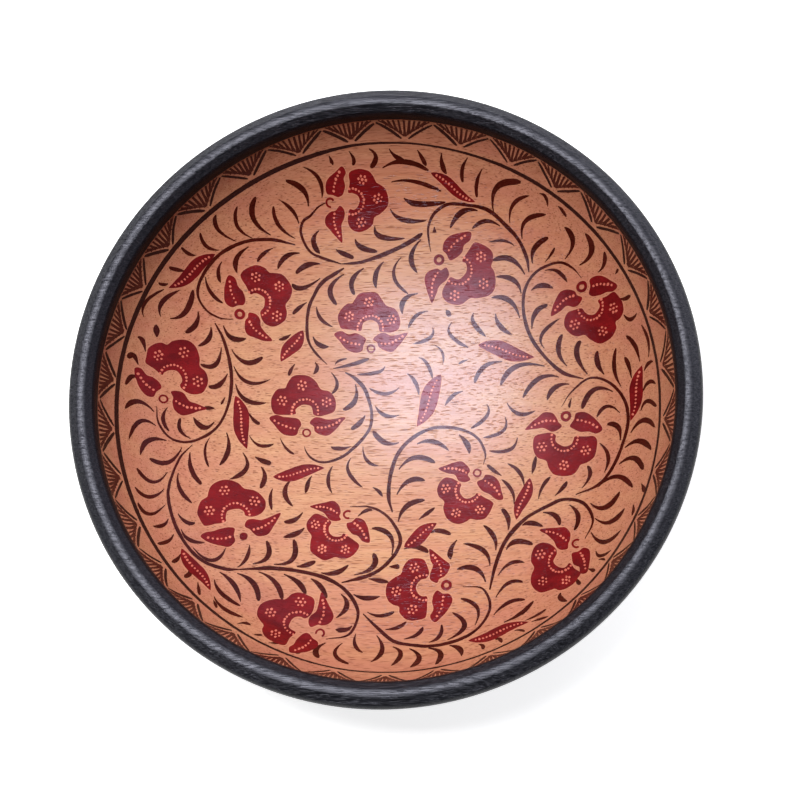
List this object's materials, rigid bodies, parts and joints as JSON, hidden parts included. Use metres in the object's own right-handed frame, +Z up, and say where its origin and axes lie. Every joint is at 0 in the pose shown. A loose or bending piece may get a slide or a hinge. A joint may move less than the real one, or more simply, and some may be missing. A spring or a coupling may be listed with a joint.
{
  "type": "batik wooden bowl",
  "caption": "Round shallow turned wooden bowl with a thick rounded black rim bead, a batik-patterned wooden inside and a low turned foot ring.",
  "frame": {"origin": "on the axis of turning, in the plane that the foot rests on", "axes": "+Z up along the axis of turning, out of the bowl's mouth; +X along the grain of the wood"},
  "size_m": [0.3, 0.3, 0.078],
  "materials": {
    "patterned_wood": "clear lacquered wood with red and dark brown batik pattern",
    "black_rim": "satin black stained wood",
    "black_foot": "satin black stained wood"
  },
  "bodies": {
    "root": {"bowl_body": "patterned_wood", "rim_bead": "black_rim", "foot_ring": "black_foot"}
  },
  "joints": []
}
